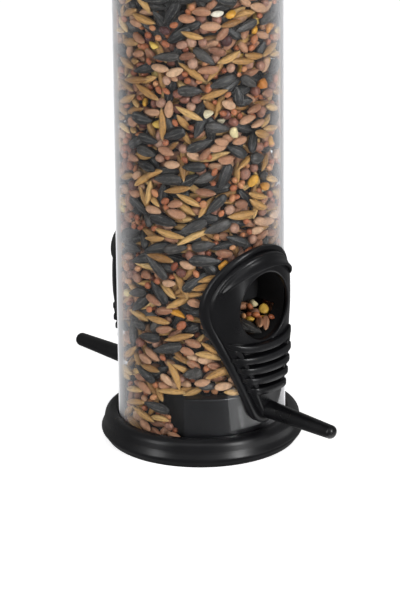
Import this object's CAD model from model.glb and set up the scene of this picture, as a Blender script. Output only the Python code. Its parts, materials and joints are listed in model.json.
"""The looks of a tube bird feeder: clear tube, black mouldings, steel hanger and the mixed seed inside."""

from __future__ import annotations

import json
import logging
import math
from dataclasses import dataclass, field
from enum import Enum
from typing import Callable, Sequence, Union

import bmesh
import bpy
import numpy as np
from mathutils import Matrix, Vector

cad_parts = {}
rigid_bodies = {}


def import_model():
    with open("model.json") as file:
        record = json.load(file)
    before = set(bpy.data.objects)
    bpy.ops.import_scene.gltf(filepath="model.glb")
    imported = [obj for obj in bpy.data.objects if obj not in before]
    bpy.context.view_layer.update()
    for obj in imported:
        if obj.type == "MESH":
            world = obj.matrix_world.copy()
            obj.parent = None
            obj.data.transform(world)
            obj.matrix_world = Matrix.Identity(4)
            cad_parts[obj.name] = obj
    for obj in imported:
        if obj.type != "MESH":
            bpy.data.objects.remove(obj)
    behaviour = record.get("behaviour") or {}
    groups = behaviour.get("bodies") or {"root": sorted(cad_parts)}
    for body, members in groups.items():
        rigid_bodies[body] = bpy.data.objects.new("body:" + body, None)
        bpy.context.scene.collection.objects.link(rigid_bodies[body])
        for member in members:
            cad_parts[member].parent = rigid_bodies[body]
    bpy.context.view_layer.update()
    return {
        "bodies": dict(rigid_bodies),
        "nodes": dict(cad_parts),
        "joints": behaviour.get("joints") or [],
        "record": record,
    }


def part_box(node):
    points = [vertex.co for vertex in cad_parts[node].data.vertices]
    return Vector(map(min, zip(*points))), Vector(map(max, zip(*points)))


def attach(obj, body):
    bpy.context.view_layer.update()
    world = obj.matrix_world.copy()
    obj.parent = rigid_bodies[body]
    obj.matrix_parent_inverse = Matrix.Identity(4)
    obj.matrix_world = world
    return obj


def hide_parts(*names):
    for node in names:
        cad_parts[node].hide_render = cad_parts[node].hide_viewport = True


LOG = logging.getLogger("feeder")
MM = 0.001
TURN = 2 * math.pi
Number = Union[float, "Value"]
Colour = tuple[float, float, float]


# ---------------------------------------------------------------- shader graphs


class Value:
    """A node's output socket that can be used in a sum like a number."""

    def __init__(self, graph: Graph, socket: bpy.types.NodeSocket) -> None:
        """Wraps a socket of a graph."""
        self.graph = graph
        self.socket = socket

    def _math(self, operation: str, first: Number, second: Number) -> Value:
        """Adds a Math node and returns its result."""
        node = self.graph.node("ShaderNodeMath", {"operation": operation}, {0: first, 1: second})
        return Value(self.graph, node.outputs[0])

    def __add__(self, other: Number) -> Value:
        """self + other."""
        return self._math("ADD", self, other)

    def __radd__(self, other: Number) -> Value:
        """other + self."""
        return self._math("ADD", other, self)

    def __sub__(self, other: Number) -> Value:
        """self - other."""
        return self._math("SUBTRACT", self, other)

    def __rsub__(self, other: Number) -> Value:
        """other - self."""
        return self._math("SUBTRACT", other, self)

    def __mul__(self, other: Number) -> Value:
        """self * other."""
        return self._math("MULTIPLY", self, other)

    def __rmul__(self, other: Number) -> Value:
        """other * self."""
        return self._math("MULTIPLY", other, self)

    def cosine(self) -> Value:
        """The cosine of this value, in radians."""
        return self._math("COSINE", self, 0.0)

    def between(self, low: float, high: float) -> Value:
        """Turns the value into a smooth step.

        Args:
            low: the value up to which the step is 0.
            high: the value from which it is 1.

        Returns:
            The step.
        """
        node = self.graph.node(
            "ShaderNodeMapRange",
            {"interpolation_type": "SMOOTHSTEP"},
            {"Value": self, "From Min": low, "From Max": high},
        )
        return Value(self.graph, node.outputs["Result"])


class Graph:
    """The node tree of one material."""

    def __init__(self, name: str) -> None:
        """Starts an empty material.

        Args:
            name: the material's name.
        """
        self.material = bpy.data.materials.new(name)
        self.material.use_nodes = True
        self.tree = self.material.node_tree
        self.tree.nodes.clear()

    def node(self, kind: str, settings: dict | None = None, inputs: dict | None = None) -> bpy.types.Node:
        """Adds a node.

        Args:
            kind: the node's type, such as ShaderNodeMath.
            settings: properties to set first; "stops" gives a ramp's positions and colours.
            inputs: values, colours, sockets or Values by input name or number.

        Returns:
            The new node.
        """
        made = self.tree.nodes.new(kind)
        for name, value in (settings or {}).items():
            if name == "stops":
                self._set_stops(made.color_ramp, value)
            else:
                setattr(made, name, value)
        for name, value in (inputs or {}).items():
            socket = made.inputs[name]
            if isinstance(value, Value):
                self.tree.links.new(value.socket, socket)
            elif isinstance(value, bpy.types.NodeSocket):
                self.tree.links.new(value, socket)
            elif isinstance(value, tuple) and len(value) == 3 and socket.type == "RGBA":
                socket.default_value = (*value, 1.0)
            else:
                socket.default_value = value
        return made

    @staticmethod
    def _set_stops(ramp: bpy.types.ColorRamp, stops: Sequence[tuple[float, Colour]]) -> None:
        """Gives a ramp its stops.

        Args:
            ramp: the ramp.
            stops: the place, from 0 to 1, and the colour of each stop.
        """
        while len(ramp.elements) > 1:
            ramp.elements.remove(ramp.elements[-1])
        for number, (place, colour) in enumerate(stops):
            stop = ramp.elements[0] if number == 0 else ramp.elements.new(place)
            stop.position = place
            stop.color = (*colour, 1.0)

    def place(self) -> bpy.types.NodeSocket:
        """The point's place on the piece, in metres."""
        return self.node("ShaderNodeTexCoord").outputs["Object"]

    def noise(self, scale: float, detail: float = 2.0, place: bpy.types.NodeSocket | None = None) -> Value:
        """A cloudy value from 0 to 1.

        Args:
            scale: how many features there are to the metre, about.
            detail: how many finer layers lie over the first.
            place: where it is read, or none for the point's place on the piece.

        Returns:
            The value.
        """
        where = place if place is not None else self.place()
        made = self.node("ShaderNodeTexNoise", {}, {"Vector": where, "Scale": scale, "Detail": detail})
        return Value(self, made.outputs["Fac"])

    def cells(self, scale: float) -> Value:
        """The distance to the nearest of many scattered points, in cells."""
        made = self.node("ShaderNodeTexVoronoi", {}, {"Vector": self.place(), "Scale": scale})
        return Value(self, made.outputs["Distance"])

    def attribute(self, name: str) -> Value:
        """A number that the mesh carries for each of its points."""
        made = self.node("ShaderNodeAttribute", {"attribute_name": name})
        return Value(self, made.outputs["Fac"])

    def facing(self, blend: float) -> Value:
        """0 where the surface faces the eye and 1 where it is seen edge on."""
        made = self.node("ShaderNodeLayerWeight", {}, {"Blend": blend})
        return Value(self, made.outputs["Facing"])

    def ramp(self, value: Value, stops: Sequence[tuple[float, Colour]], kind: str = "LINEAR") -> Value:
        """A colour picked by a value.

        Args:
            value: the value, from 0 to 1.
            stops: the place and the colour of each stop.
            kind: how the ramp runs between its stops.

        Returns:
            The colour.
        """
        made = self.node("ShaderNodeValToRGB", {"stops": stops}, {"Fac": value})
        made.color_ramp.interpolation = kind
        return Value(self, made.outputs["Color"])

    def mix(self, share: Number, first: Value | Colour, second: Value | Colour, blend: str = "MIX") -> Value:
        """Two colours mixed.

        Args:
            share: the second colour's share.
            first: the first colour.
            second: the second colour.
            blend: how they are mixed.

        Returns:
            The mixed colour.
        """
        settings = {"data_type": "RGBA", "blend_type": blend}
        made = self.node("ShaderNodeMix", settings, {0: share, 6: first, 7: second})
        return Value(self, made.outputs[2])

    def bump(self, height: Value, distance: float, strength: float = 1.0) -> Value:
        """A normal that follows a height of up to distance metres."""
        inputs = {"Height": height, "Distance": distance, "Strength": strength}
        return Value(self, self.node("ShaderNodeBump", {}, inputs).outputs["Normal"])

    def principled(self, inputs: dict) -> bpy.types.NodeSocket:
        """A Principled surface with these inputs."""
        return self.node("ShaderNodeBsdfPrincipled", {}, inputs).outputs["BSDF"]

    def finish(self, surface: bpy.types.NodeSocket) -> bpy.types.Material:
        """Connects the surface and returns the material."""
        self.node("ShaderNodeOutputMaterial", {}, {"Surface": surface})
        return self.material


# ---------------------------------------------------------------- finishes


@dataclass(frozen=True)
class BlackPlastic:
    """Black polypropylene moulding: a soft gloss over a fine grain, with a little dust."""

    name: str = "black_moulding"
    base: Colour = (0.0035, 0.0035, 0.0042)
    worn: Colour = (0.0065, 0.0065, 0.0078)
    roughness: float = 0.27
    grain: float = 0.000006
    dust: float = 0.25
    gloss: float = 0.33

    def build(self) -> bpy.types.Material:
        """Builds the finish.

        Returns:
            The material.
        """
        graph = Graph(self.name)
        cloud = graph.noise(55.0, 4.0)
        speck = 1.0 - graph.cells(420.0).between(0.03, 0.07)
        speck = speck * graph.noise(140.0).between(0.6, 0.72) * self.dust
        colour = graph.mix(cloud.between(0.35, 0.75), self.base, self.worn)
        colour = graph.mix(speck, colour, (0.1, 0.1, 0.1))
        skin = graph.noise(2600.0, 2.0) * 0.6 + graph.noise(260.0, 2.0) * 0.4
        rough = self.roughness + cloud.between(0.3, 0.8) * 0.1 + speck * 0.3
        return graph.finish(graph.principled({
            "Base Color": colour,
            "Roughness": rough,
            "Specular IOR Level": self.gloss,
            "Normal": graph.bump(skin, self.grain),
        }))


@dataclass(frozen=True)
class ClearTube:
    """Clear polycarbonate with faint scuffs, milkier edge on; shadows and soft light pass through it."""

    name: str = "clear_polycarbonate"
    tint: Colour = (0.96, 0.965, 0.97)
    scuffed: Colour = (0.93, 0.93, 0.95)
    worn: Colour = (0.9, 0.9, 0.91)
    gleam: Colour = (0.5, 0.5, 0.5)
    index: float = 1.49
    haze: float = 0.002
    scuff_haze: float = 0.008
    side_haze: float = 0.5
    edge_haze: float = 0.6

    def build(self) -> bpy.types.Material:
        """Builds the finish.

        Returns:
            The material.
        """
        graph = Graph(self.name)
        scuff = graph.noise(90.0, 5.0).between(0.5, 0.85)
        streak = graph.noise(400.0, 3.0).between(0.55, 0.9)
        clear = graph.principled({
            "Base Color": graph.mix(scuff * 0.5, self.tint, self.worn),
            "Roughness": scuff * 0.06 + streak * 0.03,
            "IOR": self.index,
            "Specular Tint": self.gleam,
            "Transmission Weight": 1.0,
        })
        edge = graph.facing(0.5)
        milkiness = self.haze + scuff * self.scuff_haze
        milkiness = milkiness + edge.between(0.3, 1.0) * self.side_haze
        milkiness = milkiness + edge.between(0.78, 0.96) * self.edge_haze
        milk = graph.node("ShaderNodeBsdfDiffuse", {}, {"Color": self.scuffed}).outputs[0]
        milky = graph.node("ShaderNodeMixShader", {}, {0: milkiness, 1: clear, 2: milk})
        path = graph.node("ShaderNodeLightPath")
        soft = Value(graph, path.outputs["Is Shadow Ray"]) + Value(graph, path.outputs["Is Diffuse Ray"])
        open_way = graph.node("ShaderNodeBsdfTransparent", {}, {"Color": self.tint}).outputs[0]
        mixed = graph.node("ShaderNodeMixShader", {}, {0: soft, 1: milky.outputs[0], 2: open_way})
        return graph.finish(mixed.outputs[0])


@dataclass(frozen=True)
class PlatedSteel:
    """Zinc-plated steel: bright, with a faint drawn grain and duller patches."""

    name: str = "plated_steel"
    base: Colour = (0.58, 0.58, 0.57)
    roughness: float = 0.24

    def build(self) -> bpy.types.Material:
        """Builds the finish.

        Returns:
            The material.
        """
        graph = Graph(self.name)
        patch = graph.noise(220.0, 4.0).between(0.4, 0.75)
        return graph.finish(graph.principled({
            "Base Color": graph.mix(patch, self.base, (0.4, 0.4, 0.39)),
            "Metallic": 1.0,
            "Roughness": self.roughness + patch * 0.2,
            "Normal": graph.bump(graph.noise(1800.0), 0.00002),
        }))


@dataclass(frozen=True)
class SeedCoat:
    """The skin of one kind of seed: a range of colours from seed to seed, with stripes or a pale tip."""

    name: str
    shades: tuple[tuple[float, Colour], ...]
    stripe: Colour = (0.3, 0.28, 0.25)
    stripes: float = 0.0
    stripe_share: float = 0.0
    tip: Colour = (0.6, 0.45, 0.28)
    tip_share: float = 0.0
    mottle: float = 0.25
    roughness: float = 0.6
    bump: float = 0.00012

    def build(self) -> bpy.types.Material:
        """Builds the finish. Points carry tint, along (0 to 1) and across (an angle round the seed).

        Returns:
            The material.
        """
        graph = Graph(self.name)
        tint, along, across = (graph.attribute(n) for n in ("tint", "along", "across"))
        colour = graph.ramp(tint, self.shades)
        fleck = graph.noise(900.0, 3.0)
        lines = (across * self.stripes).cosine().between(0.55, 0.98)
        if self.stripe_share:
            kept = lines * graph.noise(600.0).between(0.35, 0.6) * self.stripe_share
            colour = graph.mix(kept, colour, self.stripe)
        if self.tip_share:
            ends = 1.0 - (along * (1.0 - along)).between(0.02, 0.12)
            colour = graph.mix(ends * self.tip_share, colour, self.tip)
        shade = 1.0 - self.mottle * fleck.between(0.35, 0.7)
        grey = graph.node("ShaderNodeCombineColor", {}, {0: shade, 1: shade, 2: shade}).outputs[0]
        colour = graph.mix(1.0, colour, Value(graph, grey), "MULTIPLY")
        relief = fleck * 0.5 + lines * 0.5
        return graph.finish(graph.principled({
            "Base Color": colour,
            "Roughness": self.roughness,
            "Specular IOR Level": 0.35,
            "Normal": graph.bump(relief, self.bump),
        }))


@dataclass(frozen=True)
class SeedDepths:
    """What shows between the seeds: brown gloom with a crumbly surface."""

    name: str = "seed_depths"

    def build(self) -> bpy.types.Material:
        """Builds the finish.

        Returns:
            The material.
        """
        graph = Graph(self.name)
        lumps = graph.cells(260.0)
        stops = [(0.0, (0.04, 0.024, 0.015)), (0.5, (0.014, 0.01, 0.008)), (1.0, (0.004, 0.0035, 0.003))]
        return graph.finish(graph.principled({
            "Base Color": graph.ramp(lumps, stops),
            "Roughness": 0.85,
            "Specular IOR Level": 0.1,
            "Normal": graph.bump(1.0 - lumps, 0.0015),
        }))


# ---------------------------------------------------------------- mesh making


@dataclass
class Shell:
    """Points and faces of a mesh that is put together from several closed shapes."""

    points: list[np.ndarray] = field(default_factory=list)
    faces: list[np.ndarray] = field(default_factory=list)
    count: int = 0

    def add(self, points: np.ndarray, faces: np.ndarray) -> None:
        """Adds a shape.

        Args:
            points: its points.
            faces: its triangles or quads, as numbers of its own points.
        """
        self.points.append(points)
        self.faces.append(faces + self.count)
        self.count += len(points)

    def add_loft(self, rings: Sequence[np.ndarray], closed: bool = False) -> None:
        """Adds a surface through rings of equally many points.

        Args:
            rings: arrays of points, each round one closed loop.
            closed: whether the last ring joins the first; if not, both ends are capped.
        """
        size, levels = len(rings[0]), len(rings)
        points = np.concatenate(rings)
        step = np.arange(size)
        quads = []
        for level in range(levels if closed else levels - 1):
            low, high = level * size, ((level + 1) % levels) * size
            after = (step + 1) % size
            quads.append(np.stack([low + step, low + after, high + after, high + step], 1))
        self.add(points, np.concatenate(quads))
        if not closed:
            for ring, flip in ((rings[0], True), (rings[-1], False)):
                hub = np.concatenate([ring, ring.mean(0)[None]])
                fan = np.stack([step, (step + 1) % size, np.full(size, size), np.full(size, size)], 1)
                self.add(hub, fan[:, ::-1] if flip else fan)


def make_piece(name: str, shell: Shell, finish: bpy.types.Material, crease: float = 40.0) -> bpy.types.Object:
    """Makes an object of a shell.

    Args:
        name: the piece's name.
        shell: its points, in metres, and its faces; a quad that repeats a corner is a triangle.
        finish: its material.
        crease: edges that turn by more than this many degrees stay sharp.

    Returns:
        The object, smooth shaded and linked to the scene.
    """
    points = np.concatenate(shell.points)
    mesh = bpy.data.meshes.new(name)
    corners = []
    for group in shell.faces:
        if group.shape[1] == 4:
            repeats = group[:, 2] == group[:, 3]
            repeats |= group[:, 0] == group[:, 1]
            corners += group[~repeats].tolist()
            corners += [list(dict.fromkeys(face)) for face in group[repeats].tolist()]
        else:
            corners += group.tolist()
    mesh.from_pydata(points.tolist(), [], corners)
    weld_and_face_out(mesh)
    mesh.materials.append(finish)
    mesh.shade_smooth()
    mesh.set_sharp_from_angle(angle=math.radians(crease))
    piece = bpy.data.objects.new(name, mesh)
    bpy.context.scene.collection.objects.link(piece)
    return piece


def weld_and_face_out(mesh: bpy.types.Mesh) -> None:
    """Joins points that lie on each other and turns all faces outwards.

    Args:
        mesh: the mesh that is mended.
    """
    work = bmesh.new()
    work.from_mesh(mesh)
    bmesh.ops.remove_doubles(work, verts=work.verts, dist=0.002 * MM)
    bmesh.ops.recalc_face_normals(work, faces=work.faces)
    work.to_mesh(mesh)
    work.free()


# ---------------------------------------------------------------- seed


class Build(Enum):
    """How a seed is shaped."""

    SPINDLE = "spindle"
    CHIP = "chip"


@dataclass(frozen=True)
class SeedKind:
    """One kind of seed in the mix. Sizes are in metres."""

    name: str
    length: float
    width: float
    thickness: float
    share: float
    coat: SeedCoat
    build: Build = Build.SPINDLE
    blunt: float = 0.5
    point: float = 0.5
    lens: float = 1.0
    bend: float = 0.0
    crease: float = 0.0
    rings: int = 9
    spokes: int = 10
    spread: float = 0.12

    def profile(self, along: np.ndarray) -> np.ndarray:
        """The seed's half-width along its length.

        Args:
            along: places along it, from 0 to 1.

        Returns:
            The half-width at each place, as a share of the largest.
        """
        peak = self.blunt / (self.blunt + self.point)
        top = peak**self.blunt * (1 - peak) ** self.point
        inner = np.clip(along, 0.0, 1.0)
        return inner**self.blunt * (1 - inner) ** self.point / top

    def faces(self) -> np.ndarray:
        """Joins one seed's points up: rings of quads with a point at each end.

        Returns:
            Its faces.
        """
        step = np.arange(self.spokes)
        after = (step + 1) % self.spokes
        quads = []
        for level in range(self.rings - 1):
            low, high = level * self.spokes, (level + 1) * self.spokes
            quads.append(np.stack([low + step, low + after, high + after, high + step], 1))
        first, last = self.rings * self.spokes, self.rings * self.spokes + 1
        base = np.full(self.spokes, first)
        quads.append(np.stack([after, step, base, base], 1))
        top = (self.rings - 1) * self.spokes
        tip = np.full(self.spokes, last)
        quads.append(np.stack([top + step, top + after, tip, tip], 1))
        return np.concatenate(quads)

    def points(self, rng: np.random.Generator) -> tuple[np.ndarray, np.ndarray, np.ndarray]:
        """One seed, lying along X with its thickness along Z.

        Args:
            rng: the source of its small differences.

        Returns:
            Its points, and the along and across values of each.
        """
        turn = (1 - np.cos(np.pi * (np.arange(self.rings) + 0.7) / (self.rings + 0.4))) / 2
        along = np.repeat(turn, self.spokes)
        angle = np.tile(np.arange(self.spokes) * TURN / self.spokes, self.rings)
        along = np.concatenate([along, [0.0, 1.0]])
        angle = np.concatenate([angle, [0.0, 0.0]])
        size = self.profile(along)
        size[-2:] = 0.0
        across, up = np.cos(angle) * size, np.sin(angle) * size
        up = np.sign(up) * np.abs(up) ** self.lens
        groove = self.crease * np.exp(-((across / 0.22) ** 2)) * (up < 0)
        up = up * (1 - groove)
        place = np.stack([(along - 0.5) * 2, across, up], 1)
        if self.build is Build.CHIP:
            place = self._chip(place, rng)
        place = place * np.array([self.length, self.width, self.thickness]) / 2
        place[:, 1] += self.bend * rng.normal() * (1 - (2 * along - 1) ** 2)
        place *= 1 + self.spread * rng.normal(size=3) * np.array([1.0, 0.7, 0.7])
        return place, along, angle

    @staticmethod
    def _chip(place: np.ndarray, rng: np.random.Generator) -> np.ndarray:
        """Cuts a rounded grain by a few planes, as a mill cracks it.

        Args:
            place: the grain's points.
            rng: the source of the planes.

        Returns:
            The points of the cracked grain.
        """
        for _ in range(5):
            normal = rng.normal(size=3)
            normal /= np.linalg.norm(normal)
            reach = place @ normal
            limit = rng.uniform(0.35, 0.75)
            place = place * np.where(reach > limit, limit / np.maximum(reach, 1e-6), 1.0)[:, None]
        return place


SUNFLOWER = SeedKind(
    "sunflower", 10.2 * MM, 4.4 * MM, 3.0 * MM, 0.21,
    SeedCoat("sunflower_hull",
             ((0.0, (0.009, 0.0095, 0.0105)), (0.6, (0.024, 0.024, 0.024)), (1.0, (0.07, 0.064, 0.058))),
             stripe=(0.16, 0.15, 0.13), stripes=8.0, stripe_share=0.65, mottle=0.5, roughness=0.48),
    blunt=0.75, point=0.42, lens=1.15, rings=10, spokes=12,
)
WHEAT = SeedKind(
    "wheat", 6.6 * MM, 3.2 * MM, 2.9 * MM, 0.21,
    SeedCoat("wheat_bran",
             ((0.0, (0.19, 0.075, 0.038)), (0.5, (0.38, 0.18, 0.095)), (1.0, (0.6, 0.38, 0.23))),
             stripe=(0.45, 0.28, 0.17), stripes=3.0, stripe_share=0.3, tip=(0.5, 0.34, 0.2), tip_share=0.35),
    blunt=0.5, point=0.6, crease=0.5, bend=0.15 * MM, rings=8, spokes=12,
)
OATS = SeedKind(
    "oats", 10.8 * MM, 2.8 * MM, 2.4 * MM, 0.2,
    SeedCoat("oat_hull",
             ((0.0, (0.26, 0.12, 0.03)), (0.5, (0.46, 0.25, 0.075)), (1.0, (0.68, 0.45, 0.18))),
             stripe=(0.13, 0.06, 0.015), stripes=6.0, stripe_share=0.55,
             tip=(0.56, 0.39, 0.18), tip_share=0.5, roughness=0.5),
    blunt=0.85, point=0.75, bend=0.35 * MM, rings=10, spokes=10,
)
MILLET = SeedKind(
    "millet", 2.9 * MM, 2.4 * MM, 2.2 * MM, 0.22,
    SeedCoat("millet_hull", ((0.0, (0.2, 0.05, 0.02)), (0.6, (0.4, 0.13, 0.05)), (1.0, (0.55, 0.27, 0.12))),
             mottle=0.3, roughness=0.45),
    rings=6, spokes=8, spread=0.16,
)
MILO = SeedKind(
    "milo", 4.1 * MM, 3.7 * MM, 3.3 * MM, 0.11,
    SeedCoat("milo_skin", ((0.0, (0.07, 0.02, 0.018)), (0.4, (0.22, 0.08, 0.05)), (1.0, (0.46, 0.27, 0.18))),
             tip=(0.12, 0.05, 0.03), tip_share=0.4, mottle=0.35, roughness=0.45),
    rings=7, spokes=10,
)
MAIZE = SeedKind(
    "maize", 5.0 * MM, 4.0 * MM, 3.1 * MM, 0.05,
    SeedCoat("maize_chip", ((0.0, (0.5, 0.17, 0.012)), (0.35, (0.62, 0.31, 0.03)), (0.55, (0.66, 0.47, 0.1)),
                            (0.75, (0.7, 0.6, 0.34)), (1.0, (0.72, 0.68, 0.56))),
             mottle=0.2, roughness=0.45),
    build=Build.CHIP, rings=9, spokes=12,
)
MIX = (SUNFLOWER, WHEAT, OATS, MILLET, MILO, MAIZE)


@dataclass
class Place:
    """Where one seed lies: the map place of its middle, how deep it lies, and how it is turned."""

    across: float
    up: float
    depth: float
    turn: float
    tilt: float
    roll: float


@dataclass
class SeedBed:
    """A surface that seeds are laid on one by one, each as near to it as the seeds before it allow.

    The bed is a flat map in metres. bend is the radius of a wall that curves round across the map, or 0.
    """

    width: float
    height: float
    bend: float = 0.0
    step: float = 0.5 * MM
    allowed: Callable[[np.ndarray, np.ndarray], np.ndarray] | None = None
    ground: Callable[[np.ndarray, np.ndarray], np.ndarray] | None = None
    filled: np.ndarray = field(init=False)
    limit: np.ndarray = field(init=False)

    def __post_init__(self) -> None:
        """Empties the bed and works out how deep each spot may be filled."""
        across, up = self.places()
        self.filled = self.ground(across, up) if self.ground else np.zeros(across.shape)
        self.limit = self.allowed(across, up) if self.allowed else np.full(across.shape, 1.0)

    def places(self) -> tuple[np.ndarray, np.ndarray]:
        """The across and up places of every spot of the map."""
        columns, rows = round(self.width / self.step), round(self.height / self.step)
        return tuple(np.meshgrid(np.arange(columns) * self.step, np.arange(rows) * self.step, indexing="ij"))

    def lay(self, kind: SeedKind, rng: np.random.Generator, lie: float) -> Place | None:
        """Lays a seed in the best of a few places.

        Args:
            kind: the seed.
            rng: the source of the places tried.
            lie: how far, in radians, its long axis strays from the map's across direction.

        Returns:
            The place, or None if nowhere was shallow enough.
        """
        columns, rows = self.filled.shape
        tried = rng.integers(0, (columns, rows), size=(60, 2))
        free = self.limit[tried[:, 0], tried[:, 1]] - self.filled[tried[:, 0], tried[:, 1]]
        order = np.argsort(self.filled[tried[:, 0], tried[:, 1]] - 10 * np.minimum(free, 0))
        spots = np.repeat(tried[order[:8]], 3, axis=0)
        turns = rng.normal(0.0, lie, size=len(spots))
        reach = int(kind.length / 2 / self.step) + 1
        grid = np.arange(-reach, reach + 1)
        east, north = np.meshgrid(grid * self.step, grid * self.step, indexing="ij")
        east, north = east.ravel(), north.ravel()
        cosine, sine = np.cos(turns)[:, None], np.sin(turns)[:, None]
        along = east * cosine + north * sine
        across = north * cosine - east * sine
        half = kind.profile(along / kind.length + 0.5) * kind.width / 2
        inside = (np.abs(across) < half) & (np.abs(along) < kind.length / 2)
        share = np.where(inside, across / np.maximum(half, 1e-9), 1.0)
        thick = kind.thickness / kind.width * half * np.sqrt(np.maximum(1 - share**2, 0.0))
        rows_at = spots[:, 1:] + np.round(north / self.step).astype(int)
        columns_at = spots[:, :1] + np.round(east / self.step).astype(int)
        if self.bend:
            columns_at %= columns
        off = (rows_at < 0) | (rows_at >= rows) | (columns_at < 0) | (columns_at >= columns)
        rows_at, columns_at = np.clip(rows_at, 0, rows - 1), np.clip(columns_at, 0, columns - 1)
        wall = east**2 / (2 * self.bend) if self.bend else np.zeros_like(east)
        below = self.filled[columns_at, rows_at] + wall
        needed = np.where(inside, below + thick, 0.0)
        front = np.max(np.where(along > kind.length * 0.2, needed, 0.0), axis=1)
        back = np.max(np.where(along < -kind.length * 0.2, needed, 0.0), axis=1)
        tilts = np.clip((front - back) / (kind.length * 0.6), -0.5, 0.5)
        slope = along * tilts[:, None]
        depths = np.max(np.where(inside, needed - slope, 0.0), axis=1)
        after = depths[:, None] + slope + thick - wall
        room = self.limit[columns_at, rows_at]
        over = np.max(np.where(inside & off, 1.0, np.where(inside, after - room, -1.0)), axis=1)
        mean = np.sum(np.where(inside, after, 0.0), axis=1) / np.maximum(inside.sum(axis=1), 1)
        score = mean + np.where(over > 0, 1.0, 0.0)
        best = int(np.argmin(score))
        if score[best] >= 1.0:
            return None
        cells = inside[best]
        self.filled[columns_at[best][cells], rows_at[best][cells]] = after[best][cells]
        return Place(
            spots[best, 0] * self.step, spots[best, 1] * self.step, float(depths[best]),
            float(turns[best]), float(tilts[best]), float(rng.normal(0.0, 0.25)),
        )


@dataclass
class SeedHeap:
    """All the seeds of the feeder, by kind."""

    rng: np.random.Generator = field(default_factory=lambda: np.random.default_rng(20))
    points: dict[str, list[np.ndarray]] = field(default_factory=dict)
    marks: dict[str, list[np.ndarray]] = field(default_factory=dict)

    def put(self, kind: SeedKind, middle: np.ndarray, axes: np.ndarray) -> None:
        """Puts a seed at a place.

        Args:
            kind: the seed.
            middle: its middle, in metres.
            axes: three rows: the directions of its length, width and thickness.
        """
        place, along, across = kind.points(self.rng)
        if self.rng.random() < 0.5:
            place = place * np.array([1.0, -1.0, -1.0])
        if self.rng.random() < 0.5:
            place = place * np.array([-1.0, -1.0, 1.0])
        tint = np.full(len(place), np.clip(self.rng.normal(0.5, 0.24), 0.0, 1.0))
        self.points.setdefault(kind.name, []).append(place @ axes + middle)
        self.marks.setdefault(kind.name, []).append(np.stack([tint, along, across], 1))

    def fill(self, bed: SeedBed, count: int, spot: Callable, shares: dict[SeedKind, float] | None = None,
             lie: float = 0.65) -> None:
        """Lays seeds on a bed until count have been tried.

        Args:
            bed: the bed.
            count: how many seeds to try.
            spot: turns a map place and a depth into a point and three axes: across, up and out.
            shares: how much of each kind to pick; the usual mix if not given.
            lie: how far the long seeds stray from lying level, in radians.
        """
        chosen = shares or {kind: kind.share for kind in MIX}
        mix, weights = list(chosen), np.array(list(chosen.values()))
        picks = self.rng.choice(len(mix), size=count, p=weights / weights.sum())
        laid = 0
        for pick in picks:
            kind = mix[pick]
            stray = lie if self.rng.random() < 0.75 else 1.6
            found = bed.lay(kind, self.rng, stray)
            if found is None:
                continue
            laid += 1
            middle, frame = spot(found.across, found.up, found.depth)
            self.put(kind, middle, self._axes(found, frame))
        LOG.info("laid %d of %d seeds", laid, count)

    @staticmethod
    def _axes(found: Place, frame: np.ndarray) -> np.ndarray:
        """Turns, tilts and rolls a seed.

        Args:
            found: the seed's place in the bed, with its three angles.
            frame: the bed's across, up and out directions there.

        Returns:
            The seed's own three directions.
        """
        across, up, out = frame
        length = across * math.cos(found.turn) + up * math.sin(found.turn)
        width = up * math.cos(found.turn) - across * math.sin(found.turn)
        length_tilted = length * math.cos(found.tilt) - out * math.sin(found.tilt)
        out_tilted = out * math.cos(found.tilt) + length * math.sin(found.tilt)
        rolled = width * math.cos(found.roll) + out_tilted * math.sin(found.roll)
        return np.stack([length_tilted, rolled, np.cross(length_tilted, rolled)])

    def build(self) -> list[bpy.types.Object]:
        """Makes one piece for each kind of seed, with the marks that its coat reads.

        Returns:
            The pieces.
        """
        pieces = []
        for kind in MIX:
            points = self.points[kind.name]
            size = len(points[0])
            faces = kind.faces()
            all_faces = (faces[None] + (np.arange(len(points)) * size)[:, None, None]).reshape(-1, 4)
            mesh = bpy.data.meshes.new(f"seed_{kind.name}")
            place = np.concatenate(points)
            corners = [list(dict.fromkeys(face)) for face in all_faces.tolist()]
            mesh.from_pydata(place.tolist(), [], corners)
            marks = np.concatenate(self.marks[kind.name])
            for column, name in enumerate(("tint", "along", "across")):
                layer = mesh.attributes.new(name, "FLOAT", "POINT")
                layer.data.foreach_set("value", marks[:, column].astype(np.float32))
            mesh.materials.append(kind.coat.build())
            mesh.shade_smooth()
            piece = bpy.data.objects.new(f"seed_{kind.name}", mesh)
            bpy.context.scene.collection.objects.link(piece)
            pieces.append(piece)
            LOG.info("%s: %d seeds, %d faces", kind.name, len(points), len(corners))
        return pieces


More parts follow.
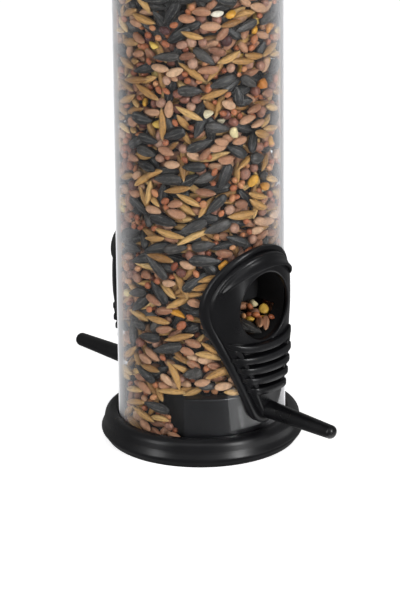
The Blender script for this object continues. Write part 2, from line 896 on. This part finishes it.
@dataclass
class Seed:
    """The mixed seed: a column in the tube, two pockets in the base, a slope in each mouth and a top."""

    tube_radius: float
    tube_wall: float
    floor: float
    pocket_floor: float
    top: float
    port_height: float
    port_blind: float = 18.0 * MM
    pocket_half_angle: float = math.radians(32)
    pocket_slope: float = math.radians(13)
    pocket_depth: float = 5.3 * MM
    coarse_top: float = 58.0 * MM
    bank_depth: float = 8.0 * MM
    core_radius: float = 24.6 * MM
    hood_back: float = 16.0 * MM
    coarse_tries: int = 1500
    wall_tries: int = 4300

    @property
    def inside(self) -> float:
        """The radius of the tube's inner wall, less a hair."""
        return self.tube_radius - self.tube_wall - 0.05 * MM

    def _bank_limit(self, across: np.ndarray, up: np.ndarray) -> np.ndarray:
        """How deep seed may lie behind the wall: not at all behind the ports, a little in the pockets.

        Args:
            across: how far round the wall each spot is.
            up: how far over the pockets' floor it is.

        Returns:
            The depth at each spot.
        """
        angle = across / self.inside
        height = up + self.pocket_floor
        limit = np.full(across.shape, self.bank_depth)
        low = height < self.floor
        narrowing = self.pocket_slope * (height - self.pocket_floor) / (self.floor - self.pocket_floor)
        off_pocket = np.abs(np.mod(angle, math.pi) - math.pi / 2) > self.pocket_half_angle - narrowing
        limit[low] = self.pocket_depth
        limit[low & off_pocket] = 0.0
        off_port = np.abs(np.mod(angle + math.pi / 2, math.pi) - math.pi / 2) * self.inside
        limit[np.hypot(off_port, height - self.port_height) < self.port_blind] = 0.0
        return limit

    def _wall_spot(self, across: float, up: float, depth: float) -> tuple[np.ndarray, np.ndarray]:
        """Finds a place on the tube's inner wall.

        Args:
            across: how far round the wall it is.
            up: how far over the pockets' floor it is.
            depth: how far inside the wall it is.

        Returns:
            The place, and the across, up and out directions there.
        """
        angle = across / self.inside
        out = np.array([math.cos(angle), math.sin(angle), 0.0])
        around = np.array([-math.sin(angle), math.cos(angle), 0.0])
        middle = out * (self.inside - depth)
        middle[2] = up + self.pocket_floor
        return middle, np.stack([around, np.array([0.0, 0.0, 1.0]), out])

    def _fill_wall(self, heap: SeedHeap) -> None:
        """Lays the seed that shows through the tube.

        Args:
            heap: the heap that takes the seed.
        """
        def low_limit(across: np.ndarray, up: np.ndarray) -> np.ndarray:
            """Only the low part of the wall, where the coarse grain has settled."""
            return np.where(up + self.pocket_floor < self.coarse_top, self._bank_limit(across, up), 0.0)

        bed = SeedBed(TURN * self.inside, self.top - self.pocket_floor, self.inside, allowed=low_limit)
        coarse = {SUNFLOWER: 0.17, WHEAT: 0.34, OATS: 0.4, MILLET: 0.04, MILO: 0.04, MAIZE: 0.01}
        heap.fill(bed, self.coarse_tries, self._wall_spot, coarse)
        bed.limit = self._bank_limit(*bed.places())
        heap.fill(bed, self.wall_tries, self._wall_spot)

    def _fill_top(self, heap: SeedHeap) -> None:
        """Lays the seed on top of the column.

        Args:
            heap: the heap that takes the seed.
        """
        reach = self.inside - 0.5 * MM
        ground = self.top - 5.0 * MM

        def round_limit(across: np.ndarray, up: np.ndarray) -> np.ndarray:
            """Seed may lie anywhere inside the tube."""
            return np.where(np.hypot(across - reach, up - reach) < reach, 8.0 * MM, 0.0)

        def spot(across: float, up: float, depth: float) -> tuple[np.ndarray, np.ndarray]:
            """A place over the column's top."""
            return np.array([across - reach, up - reach, ground + depth]), np.diag([1.0, 1.0, -1.0])

        heap.fill(SeedBed(2 * reach, 2 * reach, allowed=round_limit), 560, spot, lie=1.6)

    def _fill_mouth(self, heap: SeedHeap, side: int) -> None:
        """Lays the seed that shows in one mouth: a slope that runs out from under the hood.

        Args:
            heap: the heap that takes the seed.
            side: 1 for the front mouth, -1 for the rear one.
        """
        lip, back, low, tilt = 32.4 * MM, 16.6 * MM, 48.9 * MM, math.radians(18)
        half, run = 13.2 * MM, (lip - back) / math.cos(tilt)
        slope = np.array([-side * math.cos(tilt), 0.0, math.sin(tilt)])
        normal = np.array([side * math.sin(tilt), 0.0, math.cos(tilt)])

        def chute_limit(across: np.ndarray, up: np.ndarray) -> np.ndarray:
            """Seed may lie a few millimetres deep over the slope."""
            return np.full(across.shape, 5.4 * MM)

        def chute_floor(across: np.ndarray, up: np.ndarray) -> np.ndarray:
            """How far the round chute's wall stands over the slope.

            Args:
                across: how far across the slope each spot is.
                up: how far up the slope it is.

            Returns:
                The wall's height at each spot.
            """
            aside = np.minimum(np.abs(across - half), half * 0.999)
            wall = self.port_height - np.sqrt(half**2 - aside**2)
            return np.maximum(wall - (low + up * math.sin(tilt)), 0.0)

        def spot(across: float, up: float, depth: float) -> tuple[np.ndarray, np.ndarray]:
            """Finds a place on the slope.

            Args:
                across: how far across the slope it is.
                up: how far up the slope it is.
                depth: how far over the slope it is.

            Returns:
                The place, and the across, up and out directions there.
            """
            start = np.array([side * lip, (across - half), low])
            axes = np.stack([np.array([0.0, 1.0, 0.0]), slope, -normal])
            return start + slope * up + normal * depth, axes

        shares = {SUNFLOWER: 0.34, WHEAT: 0.3, MAIZE: 0.2, MILO: 0.1, MILLET: 0.06}
        heap.fill(SeedBed(2 * half, run, allowed=chute_limit, ground=chute_floor), 220, spot, shares, lie=1.6)

    def _slope_section(self, side: int, out: float) -> np.ndarray:
        """The outline of what lies under a mouth's seed: a flat top over a round floor.

        Args:
            side: 1 for the front mouth, -1 for the rear one.
            out: how far out from the tube's axis it is taken.

        Returns:
            The outline's points.
        """
        radius, lip_height, lip, tilt = 13.5 * MM, 47.0 * MM, 33.0 * MM, math.radians(17)
        top = lip_height + (lip - out) * math.tan(tilt)
        half = math.acos(min((self.port_height - top) / radius, 1.0))
        turn = np.linspace(-half, half, 15)
        low = np.stack([radius * np.sin(turn), self.port_height - radius * np.cos(turn)], 1)
        flat = np.stack([np.linspace(low[-1, 0], low[0, 0], 6)[1:-1], np.full(4, top)], 1)
        ring = np.concatenate([low, flat])
        return np.stack([np.full(len(ring), side * out), ring[:, 0], ring[:, 1]], 1)

    def _core(self, finish: bpy.types.Material) -> bpy.types.Object:
        """The gloom behind the outer seeds: a rough column, and a bed under each mouth.

        Args:
            finish: the material it gets.

        Returns:
            The piece.
        """
        shell = Shell()
        count, level_count, hood_radius = 72, 40, 19.4 * MM
        angle = np.arange(count) * TURN / count
        rng = np.random.default_rng(4)

        def ring(radius: float, height: float) -> np.ndarray:
            """One slightly uneven ring that keeps clear of the hoods.

            Args:
                radius: its middle radius.
                height: its height.

            Returns:
                The ring's points.
            """
            rough = radius + rng.normal(0.0, 0.25 * MM, count)
            out, aside = rough * np.cos(angle), rough * np.sin(angle)
            chord = math.sqrt(max(hood_radius**2 - (height - self.port_height) ** 2, 0.0))
            out = np.where(np.abs(aside) < chord, np.clip(out, -self.hood_back, self.hood_back), out)
            return np.stack([out, aside, np.full(count, height)], 1)

        levels = np.linspace(self.floor + 0.6 * MM, self.top - 5.0 * MM, level_count)
        rings = [ring(self.core_radius, level) for level in levels]
        crown = [ring(self.core_radius * share, levels[-1] + 0.2 * MM) for share in (0.66, 0.33)]
        shell.add_loft([ring(self.core_radius * 0.5, levels[0])] + rings + crown)
        for side in (1, -1):
            shell.add_loft([self._slope_section(side, out) for out in np.linspace(16.2 * MM, 29.4 * MM, 8)])
        return make_piece("seed_core", shell, finish)

    def build(self) -> list[bpy.types.Object]:
        """Makes every seed piece.

        Returns:
            The pieces.
        """
        heap = SeedHeap()
        self._fill_wall(heap)
        self._fill_top(heap)
        for side in (1, -1):
            self._fill_mouth(heap, side)
        return heap.build() + [self._core(SeedDepths().build())]


# ---------------------------------------------------------------- ports


class Side(Enum):
    """Which way a port faces."""

    FRONT = 1
    REAR = -1


@dataclass
class PortCover:
    """One port's cover: ledge, raised face with a mouth, brow, louvres and the neck that holds the perch."""

    side: Side
    tube_radius: float
    head_radius: float
    head_height: float
    foot_height: float
    toe_radius: float = 6.5 * MM
    ledge_thickness: float = 1.65 * MM
    face_radius: float = 30.0 * MM
    face_middle: float = 6.6 * MM
    mouth_width: float = 12.4 * MM
    mouth_height: float = 13.2 * MM
    throat_end: float = 33.95 * MM
    lip_depth: float = 0.8 * MM
    chute_cover: float = 1.12 * MM
    chute_radius: float = 15.2 * MM
    mouth_drop: float = 0.5 * MM
    rim_out: float = 36.3 * MM
    rim_bend: float = 77.0 * MM
    rim_spread: float = 0.62
    lean_out: float = 1.7 * MM
    lean_start: float = 52.0 * MM
    brow_radius: float = 24.9 * MM
    brow_middle: float = 53.8 * MM
    brow_sweep: float = math.radians(50)
    louvres: int = 5
    louvre_lowest: float = 28.9 * MM
    louvre_pitch: float = 4.25 * MM
    neck_reach: float = 38.3 * MM
    neck_top: float = 28.4 * MM
    around: int = 240

    def _outline(self, count: int, inset: float = 0.0) -> np.ndarray:
        """Points (y, z) round the cover's outline: two arcs and the straight sides between them.

        Args:
            count: how many points.
            inset: how far inside the outline they lie.

        Returns:
            The points, evenly spaced, from the top round by the +Y side.
        """
        head, toe = self.head_radius - inset, self.toe_radius - inset
        toe_height = self.foot_height + self.toe_radius
        lean = math.asin((self.head_radius - self.toe_radius) / (self.head_height - toe_height))
        swing = math.pi / 2 + lean
        arcs = [
            (head, self.head_height, -swing, swing),
            (toe, toe_height, swing, TURN - swing),
        ]
        dense = []
        for radius, height, start, end in arcs:
            turn = np.linspace(start, end, 200)
            dense.append(np.stack([radius * np.sin(turn), height + radius * np.cos(turn)], 1))
        line = np.concatenate(dense)
        line = np.concatenate([line, line[:1]])
        run = np.concatenate([[0.0], np.cumsum(np.hypot(*np.diff(line, axis=0).T))])
        spots = (np.arange(count) / count * run[-1] + run[100]) % run[-1]
        return np.stack([np.interp(spots, run, line[:, 0]), np.interp(spots, run, line[:, 1])], 1)

    def _face(self, across: np.ndarray) -> np.ndarray:
        """How far out the raised face lies, at a distance across it."""
        return self.face_middle + np.sqrt(self.face_radius**2 - across**2)

    def _lean(self, height: np.ndarray | float) -> np.ndarray | float:
        """How much further out the cover stands towards its foot."""
        share = (self.lean_start - height) / (self.lean_start - self.foot_height)
        return self.lean_out * np.clip(share, 0.0, 1.0)

    def _at_radius(self, flat: np.ndarray, radius: float, leans: bool = True) -> np.ndarray:
        """Points (y, z) put on a cylinder round the tube's axis, or further out towards the foot."""
        out = np.sqrt(radius**2 - flat[:, 0] ** 2) + (self._lean(flat[:, 1]) if leans else 0.0)
        return np.stack([out, flat[:, 0], flat[:, 1]], 1)

    def _at_face(self, flat: np.ndarray, lift: float | np.ndarray) -> np.ndarray:
        """Points (y, z) put on the raised face, lifted off it by some amount."""
        out = self._face(flat[:, 0]) + self._lean(flat[:, 1]) + lift
        return np.stack([out, flat[:, 0], flat[:, 1]], 1)

    def _rim(self, flat: np.ndarray) -> np.ndarray:
        """How far the mouth's flatter rim stands over the face."""
        level = self.rim_out - flat[:, 0] ** 2 / (2 * self.rim_bend)
        return level - self._face(flat[:, 0]) - self._lean(flat[:, 1])

    def _dip(self, flat: np.ndarray) -> np.ndarray:
        """How far the face sinks: to the mouth's flatter rim, and into the slots between louvres.

        Args:
            flat: points (y, z) on the cover.

        Returns:
            The depth at each point. It is below zero where the face rises, as in the louvres' block.
        """
        drop = flat[:, 1] - self.head_height + self.mouth_drop
        wide = np.hypot(flat[:, 0] / self.mouth_width, drop / self.mouth_height)
        near = np.clip((1.0 + self.rim_spread - wide) / self.rim_spread, 0.0, 1.0) ** 2
        scoop = -self._rim(flat) * near
        middle = self.louvre_lowest + self.louvre_pitch * (self.louvres - 1) / 2
        span = self.louvre_pitch * self.louvres / 2
        behind = np.clip((span - 0.2 * MM - np.abs(flat[:, 1] - middle)) / (1.0 * MM), 0.0, 1.0)
        to_side = self._half_width(flat[:, 1]) - np.abs(flat[:, 0])
        block_edge, block_rise, slot_edge, slot_depth = 2.4 * MM, 1.5 * MM, 5.4 * MM, 3.2 * MM
        block = np.clip((to_side - block_edge) / (0.9 * MM), 0.0, 1.0)
        slot = np.clip((to_side - slot_edge) / (2.2 * MM), 0.0, 1.0)
        return np.where(behind > 0, behind * (slot_depth * slot - block_rise * block), scoop)

    def _half_width(self, height: np.ndarray | float) -> np.ndarray | float:
        """Half the outline's width between its two arcs.

        Args:
            height: where it is taken.

        Returns:
            The half-width.
        """
        toe_height = self.foot_height + self.toe_radius
        rise = self.head_height - toe_height
        lean = math.asin((self.head_radius - self.toe_radius) / rise)
        return self.toe_radius / math.cos(lean) + (height - toe_height) * math.tan(lean)

    def _cover(self, shell: Shell) -> None:
        """The ledge, the raised face and the throat, as one closed loft.

        Args:
            shell: the mesh that takes them.
        """
        edge = self._outline(self.around)
        centre = np.array([0.0, self.head_height - self.mouth_drop])
        aim = np.arctan2(*(edge - centre).T)
        mouth = np.stack([self.mouth_width * np.sin(aim), self.mouth_height * np.cos(aim)], 1) + centre
        ledge = self.tube_radius + self.ledge_thickness
        seat = self.tube_radius + 0.06 * MM
        rings = [self._at_radius(edge, seat, leans=False), self._at_radius(edge, ledge - 0.6 * MM)]
        for inset, radius in ((0.2, ledge - 0.2 * MM), (0.7, ledge), (1.8, ledge), (2.1, ledge - 0.15 * MM)):
            rings.append(self._at_radius(self._outline(self.around, inset * MM), radius))
        for inset, lift in ((2.25, -0.9), (2.4, -0.4), (2.75, -0.1), (3.3, 0.0)):
            rings.append(self._at_face(self._outline(self.around, inset * MM), lift * MM))
        start = self._outline(self.around, 3.3 * MM)
        rim = centre + (mouth - centre) * (1 + 0.9 * MM / self.mouth_width)
        for share in np.linspace(0.0, 1.0, 40)[1:]:
            flat = start + (rim - start) * share
            rings.append(self._at_face(flat, -self._dip(flat)))
        for grow, sink in ((0.45, 0.12), (0.12, 0.4), (0.0, 0.8)):
            flat = centre + (mouth - centre) * (1 + grow * MM / self.mouth_width)
            rings.append(self._at_face(flat, self._rim(flat) - sink * MM))
        throat = self._at_face(mouth, self._rim(mouth) - self.lip_depth)
        throat[:, 0] = np.minimum(throat[:, 0], self.throat_end)
        circle = np.stack([np.sin(aim), np.cos(aim)], 1)
        round_seat = np.array([0.0, self.head_height]) + self.chute_radius * circle
        seat_end = self._at_face(round_seat, -self.chute_cover)
        seat_end[:, 0] = np.minimum(seat_end[:, 0], self.throat_end)
        rings += [throat, seat_end, self._at_radius(round_seat, seat, leans=False)]
        shell.add_loft(rings, closed=True)

    def _brow(self, shell: Shell) -> None:
        """The brow over the mouth: a crescent with a thin lip, and a hollow roof behind it.

        Args:
            shell: the mesh that takes it.
        """
        section = [(-0.9, -1.5), (-1.1, 0.4), (-1.1, 2.1), (-0.9, 2.6), (-0.5, 2.8), (0.0, 2.75), (0.5, 2.3),
                   (1.0, 1.5), (1.6, 0.9), (2.4, 0.5), (3.2, 0.15), (3.8, -0.5), (3.8, -1.5)]
        edge = self.head_radius - 2.6 * MM
        rise = self.head_height - self.brow_middle
        rings = []
        for share in np.linspace(-1.0, 1.0, 97):
            turn = share * self.brow_sweep
            fade = max(1.0 - abs(share) ** 4, 0.0) ** 0.6
            middle = self.brow_radius - 1.1 * MM * share**4
            limit = rise * math.cos(turn) + math.sqrt(edge**2 - (rise * math.sin(turn)) ** 2)
            room = max(limit - middle, 0.3 * MM) / (4.0 * MM)
            ring = []
            for wide, lift in section:
                radius = middle + wide * MM * (min(room, 1.0) if wide > 0 else 0.35 + 0.65 * fade)
                height = (lift if lift < 0 else lift * fade) * MM
                across = radius * math.sin(turn)
                ring.append((float(self._face(np.array(across))) + height, across,
                             self.brow_middle + radius * math.cos(turn)))
            rings.append(np.array(ring))
        shell.add_loft(rings)

    def _louvre(self, shell: Shell, number: int) -> None:
        """One louvre: a rounded shelf across the face that dies out into its sides.

        Args:
            shell: the mesh that takes it.
            number: which louvre it is, from the lowest, which is 0.
        """
        section = [(1.5, -2.4), (1.5, 0.9), (1.42, 1.35), (1.2, 1.62), (0.8, 1.74), (-0.8, 1.8), (-1.2, 1.66),
                   (-1.38, 1.35), (-1.42, 0.8), (-1.4, -2.4)]
        height = self.louvre_lowest + number * self.louvre_pitch
        half = self._half_width(height) - 1.9 * MM
        top = number == self.louvres - 1
        out = float(self._lean(height)) + (0.1 if top else 0.7) * MM
        rings = []
        for share in np.linspace(-1.0, 1.0, 61):
            fade = max(1.0 - abs(share) ** 8, 0.0) ** 0.5
            across = share * half
            rise = (2.2 if top else 0.5) * MM * abs(share) ** 3
            ring = []
            for up, lift in section:
                reach = lift * (0.25 + 0.75 * fade) if lift > 0 else lift
                ring.append((float(self._face(np.array(across))) + out + reach * MM, across,
                             height + rise + up * MM * (0.6 + 0.4 * fade)))
            rings.append(np.array(ring))
        shell.add_loft(rings)

    def _neck(self, shell: Shell) -> None:
        """The raised neck under the louvres, that the perch comes out of.

        Args:
            shell: the mesh that takes it.
        """
        rings = []
        for inset, lift in ((2.5, -4.0), (2.5, -0.9), (2.75, -0.35), (3.2, -0.08), (3.8, 0.0), (4.6, 0.0)):
            flat = self._outline(self.around, inset * MM)
            flat[:, 1] = np.minimum(flat[:, 1], self.neck_top)
            limit = self._half_width(self.neck_top) - inset * MM * 1.1
            flat[:, 0] = np.clip(flat[:, 0], -limit, limit)
            out = self.neck_reach + lift * MM - flat[:, 0] ** 2 / (90 * MM)
            rings.append(np.concatenate([out[:, None], flat], 1))
        shell.add_loft(rings)

    def build(self, finish: bpy.types.Material) -> bpy.types.Object:
        """Makes the cover.

        Args:
            finish: the material it gets.

        Returns:
            The piece.
        """
        shell = Shell()
        self._cover(shell)
        self._brow(shell)
        for number in range(self.louvres):
            self._louvre(shell, number)
        self._neck(shell)
        if self.side is Side.REAR:
            shell.points = [points * np.array([-1.0, -1.0, 1.0]) for points in shell.points]
        return make_piece(f"port_cover_{self.side.name.lower()}", shell, finish)


# ---------------------------------------------------------------- studio


@dataclass
class Studio:
    """A pale floor, soft light from all round and the camera."""

    target_height: float = 54.6 * MM
    distance: float = 1340.19 * MM
    azimuth: float = math.radians(46.8)
    elevation: float = math.radians(19.83)
    roll: float = math.radians(-0.59)
    aside: float = -0.37 * MM
    lens: float = 207.9

    def camera(self) -> None:
        """A long lens from above the tube's middle, a little to the left of the front port."""
        data = bpy.data.cameras.new("camera")
        data.lens = self.lens
        data.sensor_width = 36.0
        data.clip_end = 20.0
        away = Vector((-math.sin(self.azimuth), math.cos(self.azimuth), 0.0))
        right = Vector((math.cos(self.azimuth), math.sin(self.azimuth), 0.0))
        aim = away * math.cos(self.elevation) - Vector((0, 0, math.sin(self.elevation)))
        up = right.cross(aim)
        tilted_right = right * math.cos(self.roll) + up * math.sin(self.roll)
        tilted_up = up * math.cos(self.roll) - right * math.sin(self.roll)
        place = Vector((0, 0, self.target_height)) - aim * self.distance + right * self.aside
        axes = Matrix((tilted_right, tilted_up, -aim)).transposed()
        camera = bpy.data.objects.new("camera", data)
        camera.matrix_world = Matrix.Translation(place) @ axes.to_4x4()
        bpy.context.scene.collection.objects.link(camera)
        bpy.context.scene.camera = camera

    def floor(self) -> None:
        """A wide pale floor that shows only faintly in glossy surfaces."""
        graph = Graph("studio_floor")
        path = graph.node("ShaderNodeLightPath")
        share = Value(graph, path.outputs["Glossy Depth"]).between(0.0, 1.0)
        material = graph.finish(graph.principled({
            "Base Color": graph.mix(share, (0.93, 0.93, 0.93), (0.16, 0.16, 0.16)),
            "Roughness": 0.9,
            "Specular IOR Level": 0.0,
            "Emission Color": graph.mix(share, (1.0, 1.0, 1.0), (0.12, 0.12, 0.12)),
            "Emission Strength": 0.72,
        }))
        mesh = bpy.data.meshes.new("studio_floor")
        reach = 6.0
        mesh.from_pydata([(-reach, -reach, 0), (reach, -reach, 0), (reach, reach, 0), (-reach, reach, 0)], [],
                         [(0, 1, 2, 3)])
        mesh.materials.append(material)
        floor = bpy.data.objects.new("studio_floor", mesh)
        bpy.context.scene.collection.objects.link(floor)

    def _card(
        self, name: str, turns: tuple[float, float], reach: tuple[float, float], strength: float
    ) -> None:
        """A bright card on the floor beside the base, hidden from the camera, that lights no dull surface.

        Args:
            name: its name.
            turns: where it starts and ends, in degrees to the right of the camera.
            reach: how far from the tube's axis it starts and ends.
            strength: how bright it is.
        """
        graph = Graph(name)
        glow = graph.node("ShaderNodeEmission", {}, {"Strength": strength}).outputs[0]
        count, height = 24, 0.4 * MM
        angles = self.azimuth - math.pi / 2 + np.radians(np.linspace(*turns, count))
        rings = [np.stack([r * np.cos(angles), r * np.sin(angles), np.full(count, height)], 1) for r in reach]
        step = np.arange(count - 1)
        shell = Shell()
        shell.add(np.concatenate(rings), np.stack([step, step + 1, step + count + 1, step + count], 1))
        card = make_piece(name, shell, graph.finish(glow))
        card.visible_camera = card.visible_diffuse = card.visible_shadow = False

    def _lamp(self, name: str, place: Vector, size: tuple[float, float], power: float) -> None:
        """A rectangular lamp that looks at the feeder.

        Args:
            name: its name.
            place: where it hangs.
            size: its width and height.
            power: its power in watts.
        """
        data = bpy.data.lights.new(name, "AREA")
        data.shape = "RECTANGLE"
        data.size, data.size_y = size
        data.energy = power
        lamp = bpy.data.objects.new(name, data)
        lamp.location = place
        lamp.rotation_euler = (Vector((0, 0, 0.08)) - place).to_track_quat("-Z", "Y").to_euler()
        bpy.context.scene.collection.objects.link(lamp)

    def light(self) -> None:
        """A dim white room, a strip lamp on each side, a soft box high in front and two cards by the base."""
        world = bpy.data.worlds.new("studio_world")
        world.use_nodes = True
        background = world.node_tree.nodes["Background"]
        background.inputs["Color"].default_value = (1.0, 1.0, 1.0, 1.0)
        background.inputs["Strength"].default_value = 0.25
        bpy.context.scene.world = world
        toward = Vector((math.sin(self.azimuth), -math.cos(self.azimuth), 0.0))
        right = Vector((math.cos(self.azimuth), math.sin(self.azimuth), 0.0))
        up = Vector((0, 0, 1))

        def toward_lamp(turn: float) -> Vector:
            """The level direction of a lamp, that many degrees to the right of the camera."""
            angle = math.radians(turn)
            return toward * math.cos(angle) + right * math.sin(angle)

        self._lamp("right_strip", toward_lamp(42) * 1.3 + up * 0.45, (0.2, 0.9), 12.0)
        self._lamp("left_strip", toward_lamp(-54) * 1.3 + up * 0.5, (0.3, 0.9), 5.5)
        self._lamp("front_box", toward_lamp(-8) * 1.4 + up * 1.5, (1.6, 1.2), 4.4)
        self._card("wide_card", (30, 92), (58 * MM, 106 * MM), 1.6)
        self._card("narrow_card", (41, 46), (58 * MM, 84 * MM), 3.0)
        settings = bpy.context.scene.view_settings
        settings.view_transform = "Standard"
        settings.exposure = 0.0

    def build(self) -> None:
        """Sets the studio up."""
        self.camera()
        self.floor()
        self.light()


# ---------------------------------------------------------------- the feeder


def dress(nodes: dict[str, bpy.types.Object], names: Sequence[str], finish: bpy.types.Material) -> None:
    """Gives CAD pieces a finish.

    Args:
        nodes: the CAD pieces, by name.
        names: which of them get it.
        finish: the material.
    """
    for name in names:
        mesh = nodes[name].data
        mesh.materials.clear()
        mesh.materials.append(finish)
        for face in mesh.polygons:
            face.material_index = 0
        LOG.info("dressed %s in %s", name, finish.name)


def main() -> None:
    """Builds the feeder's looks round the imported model."""
    logging.basicConfig(level=logging.INFO, format="%(name)s: %(message)s")
    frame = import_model()
    nodes = frame["nodes"]
    studio = Studio()
    studio.build()

    moulding = BlackPlastic().build()
    dress(nodes, ("base_tray", "perch_front", "perch_rear", "collar", "lid", "lid_knob"), moulding)
    hood = BlackPlastic("hood_moulding", (0.014, 0.014, 0.015), (0.02, 0.02, 0.021), roughness=0.8, gloss=0.1)
    dress(nodes, ("baffle_front", "baffle_rear"), hood.build())
    dress(nodes, ("tube",), ClearTube().build())
    dress(nodes, ("hanger", "knob_screw"), PlatedSteel().build())

    tube_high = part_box("tube")[1]
    port_low, port_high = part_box("port_front")
    head_radius = (port_high.y - port_low.y) / 2
    for side in Side:
        cover = PortCover(side, tube_high.x, head_radius, port_high.z - head_radius, port_low.z)
        piece = cover.build(moulding)
        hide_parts(f"port_{side.name.lower()}")
        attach(piece, "feeder")
        LOG.info("built %s", piece.name)

    seed_low, seed_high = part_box("seed_fill")
    tube_wall, seed_floor = 1.2 * MM, 25.7 * MM
    seed = Seed(tube_high.x, tube_wall, seed_floor, seed_low.z, seed_high.z, port_high.z - head_radius)
    for piece in seed.build():
        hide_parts("seed_fill")
        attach(piece, "feeder")
        LOG.info("built %s", piece.name)


if __name__ == "__main__":
    main()
